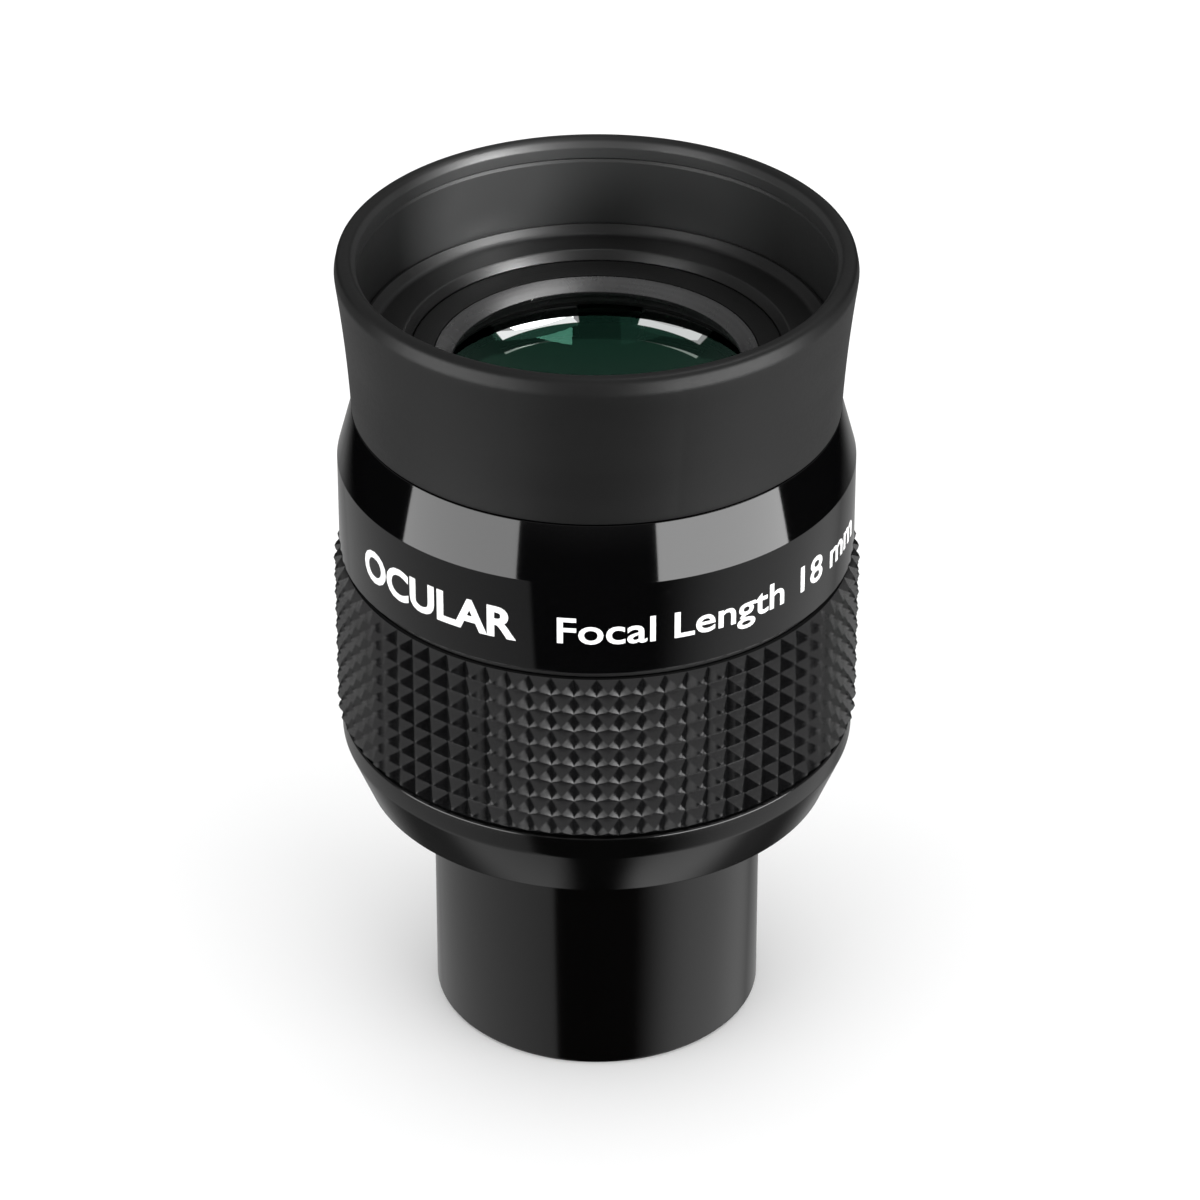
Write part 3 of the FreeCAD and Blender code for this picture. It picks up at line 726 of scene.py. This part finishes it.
# %% [markdown]
# ## The rubber eyecup
#
# The cup is one soft moulding, though the model splits it into base, skirt and lip so that it
# can move. Three pieces would show two seams, so one closed outline makes all of it. Its wall
# flares a little outwards and ends in a thick rolled lip with a fine groove under its inner
# edge.

# %% Eyecup
cup_low = span_of("eyecup_base")[0]
cup_high = span_of("eyecup_lip")[1]


def flare(height):
    """Outer radius in mm: a parabola through 23.0 at the foot, 23.48 half way, 24.28 at 79.5."""
    share = (height - CHAMFER_TOP) / 13.9
    return 23.0 + 0.64 * share + 0.64 * share ** 2


wall = [(flare(h), h, 0.0) for h in np.linspace(66.4, 79.0, 14)]
cup_path = outline([
    (21.95, cup_low, 0.05), (flare(cup_low), cup_low, 0.22), *wall,
    (24.30, 79.8, 1.6), (24.0, 81.25, 0.9), (22.95, cup_high, 0.7), (22.30, 80.5, 0.35),
    (22.22, 79.45, 0.04), (22.46, 79.25, 0.03), (22.33, 78.95, 0.06), (22.30, 70.65, 0.0),
    (21.95, 70.65, 0.05), (21.95, 68.44, 0.05), (21.16, 68.44, 0.05), (21.16, 67.16, 0.05),
    (21.95, 67.16, 0.05)])
eyecup = turned("eyecup_moulding", divided(cup_path, 0.5), 288, crease=50.0)
eyecup.data.materials.append(CUP_RUBBER)
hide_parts("eyecup_base", "eyecup_skirt", "eyecup_lip")
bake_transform(eyecup)


# %% [markdown]
# ## Parts that keep their CAD shape
#
# The small inner parts are seen only from below or not at all. Their CAD shape is right, so
# nothing is made again and each just gets its finish.

# %% Finishes for the inner parts
KEPT = {
    "field_stop": INNER_BLACK, "field_stop_lock_ring": INNER_BLACK, "field_baffle": INNER_BLACK,
    "lower_spacer": INNER_BLACK, "upper_spacer": INNER_BLACK, "cell_shim": SHIM_BRASS,
    "eye_lens_o_ring": SEAL_RUBBER, "grub_screws": SCREW_STEEL}
for node, material in KEPT.items():
    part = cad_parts[node]
    for place in part.material_slots:
        place.material = material
print("finished", len(KEPT), "inner parts")


# %% [markdown]
# ## Studio
#
# A pale floor and two large soft boxes, left and right of the camera. Their reflections are the
# bright patches on the chamfer. The floor isn't seen in reflections, because a bright floor
# would wash out all the black metal. Two cards overhead light the retainer's mouth, two narrow
# ones give the glass its glints, and two narrow spots reach the inside of the eyecup.

# %% Floor and lights
def stage_plane(name, size, place, material):
    half = size / 2
    mesh = bpy.data.meshes.new(name)
    mesh.from_pydata([(-half, -half, 0), (half, -half, 0), (half, half, 0), (-half, half, 0)], [],
                     [(0, 1, 2, 3)])
    mesh.materials.append(material)
    plane = bpy.data.objects.new(name, mesh)
    plane.location = place
    bpy.context.scene.collection.objects.link(plane)
    return plane


pale = Finish("floor_pale", Roughness=0.9)
pale.feed("Base Color", pale.blend_colours(pale.noise(3.0), (0.92, 0.92, 0.92), (0.94, 0.94, 0.94)))
floor = stage_plane("floor", 12.0, (0, 0, 0), pale.material)
floor.visible_glossy = False


def light_at(name, data, azimuth, elevation, distance, target):
    """Hangs a light so that it faces the target. Azimuth 0 is on the camera's side, 90 on +X."""
    a, e = math.radians(azimuth), math.radians(elevation)
    away = Vector((math.sin(a) * math.cos(e), -math.cos(a) * math.cos(e), math.sin(e)))
    lamp = bpy.data.objects.new(name, data)
    lamp.location = Vector(target) + away * distance
    lamp.rotation_euler = away.to_track_quat("Z", "Y").to_euler()
    bpy.context.scene.collection.objects.link(lamp)


def soft_box(name, azimuth, width, height, power):
    """A large area light, a little below the object's middle, 0.75 m from it."""
    data = bpy.data.lights.new(name, "AREA")
    data.shape = "RECTANGLE"
    data.size, data.size_y, data.energy = width, height, power
    light_at(name, data, azimuth, elevation=-4, distance=0.75, target=(0, 0, 0.045))


def accent(name, azimuth, target, size, power):
    """A narrow square spot of light from the front, aimed at a point inside the cup."""
    data = bpy.data.lights.new(name, "SPOT")
    data.energy, data.shadow_soft_size = power, 0.004
    data.spot_size, data.spot_blend, data.use_square = math.radians(size), 0.04, True
    light_at(name, data, azimuth, elevation=33, distance=0.7, target=target)


def glow(name, strength):
    """A plain emitting material for the cards."""
    made = Finish(name, Emission_Strength=strength, Emission_Color=(1, 1, 1, 1),
                  Base_Color=(0, 0, 0, 1))
    return made.material


def overhead_card(name, place, width, height, strength, turn=0.0):
    """A level glowing card above the eyepiece, turned in its plane, seen only in reflections."""
    card = stage_plane(name, 1.0, place, glow(name + "_glow", strength))
    card.scale = (width, height, 1)
    card.rotation_euler = (0, 0, math.radians(turn))
    card.visible_camera = card.visible_diffuse = card.visible_shadow = False
    card.visible_transmission = card.visible_volume_scatter = False


soft_box("left_box", azimuth=-59.4, width=0.756, height=0.50, power=7.3)
soft_box("right_box", azimuth=55.0, width=0.869, height=0.50, power=12.3)
overhead_card("glint_left", (0.267, 0.236, 0.80), 0.46, 0.060, strength=0.82, turn=38)
overhead_card("glint_right", (-0.307, 0.250, 0.80), 0.39, 0.060, strength=0.62, turn=-42)
overhead_card("mouth_left", (0.36, 0.12, 0.85), 0.52, 0.30, strength=4.0)
overhead_card("mouth_right", (-0.36, 0.12, 0.85), 0.52, 0.30, strength=0.45)
accent("accent_left", 55, (-0.0098, 0.0197, 0.0765), size=1.3, power=60)
accent("accent_right", -45, (0.0085, 0.0203, 0.0765), size=1.2, power=12)
print("lights:", [lamp.name for lamp in bpy.data.lights])


# %% [markdown]
# ## What the black metal mirrors
#
# To the camera and to matt surfaces the world is plain white. To a mirror ray it is nearly black,
# apart from a faint glow overhead and a sheen below the horizon on both sides, which gives the
# barrel its two long soft reflections. Cards could do the same, but a function of direction has
# no edges that show where they shouldn't. `side` and `toward` are the ray's direction seen from
# above: the sine and cosine of its angle from the camera's side.

# %% World
world = bpy.data.worlds.new("studio")
bpy.context.scene.world = world
world.use_nodes = True


class Sky(Finish):
    """The same node tools, at work on the world."""

    def __init__(self, tree):
        self.tree = tree
        self.place = self.node("ShaderNodeTexCoord", {}, [], output="Generated")


WHITE_BACKDROP = 1.12
OVERHEAD_GLOW = 0.27
LEFT_EDGE = 0.469, 0.51
RIGHT_EDGE = 0.42, 1.0

sky = Sky(world.node_tree)
x, y, z = sky.axes()
down = z * -1.0
level = (x * x + y * y + 0.000001) ** 0.5
side, toward = x / level, y / level * -1.0

left_sheen = (side * -1.0).rise(*LEFT_EDGE) * (side * -0.3 + 0.25)
right_sheen = side.rise(*RIGHT_EDGE) * 0.8
back_sheen = (toward * -1.0).rise(0.3, 0.9) * 0.35
sheen = left_sheen.maths("MAXIMUM", right_sheen).maths("MAXIMUM", back_sheen)

# Steep rays come off the cone: there the sheen has a dark gap in the middle and a dim far side.
steep = down.rise(0.62, 0.80)
middle = 1.0 - x.maths("ABSOLUTE").rise(0.06, 0.18)
sheen = sheen * (1.0 - steep * middle) * (1.0 - steep * y.rise(0.02, 0.25) * 0.85)

mirrored = sheen * down.rise(0.30, 0.42) + z.rise(0.0, 0.25) * OVERHEAD_GLOW
mirror_ray = sky.node("ShaderNodeLightPath", {}, [], output="Is Glossy Ray")
glass_ray = sky.node("ShaderNodeLightPath", {}, [], output="Is Transmission Ray")
bent = mirror_ray.maths("MAXIMUM", glass_ray)
strength = bent * mirrored + (1.0 - bent) * WHITE_BACKDROP

background = sky.tree.nodes["Background"]
background.inputs["Color"].default_value = (1, 1, 1, 1)
sky.tree.links.new(strength.socket, background.inputs["Strength"])
bpy.context.scene.view_settings.view_transform = "Standard"
print("world nodes:", len(world.node_tree.nodes))


# %% [markdown]
# ## Camera
#
# The camera looks down at the marked side from just over half a metre. Close up with a wide lens
# the cup would loom over the barrel, so a long lens is used.

# %% Camera
ELEVATION, DISTANCE = math.radians(31.93), 0.5414
TARGET = (0.00031, 0.0, 0.04342)
eye = bpy.data.cameras.new("camera")
eye.lens, eye.sensor_width = 169.6, 36.0
eye.clip_start, eye.clip_end = 0.01, 50.0
camera = bpy.data.objects.new("camera", eye)
camera.location = (TARGET[0], -DISTANCE * math.cos(ELEVATION), TARGET[2] + DISTANCE * math.sin(ELEVATION))
camera.rotation_euler = (math.pi / 2 - ELEVATION, 0, 0)
bpy.context.scene.collection.objects.link(camera)
bpy.context.scene.camera = camera
print("camera at", [round(v, 4) for v in camera.location])
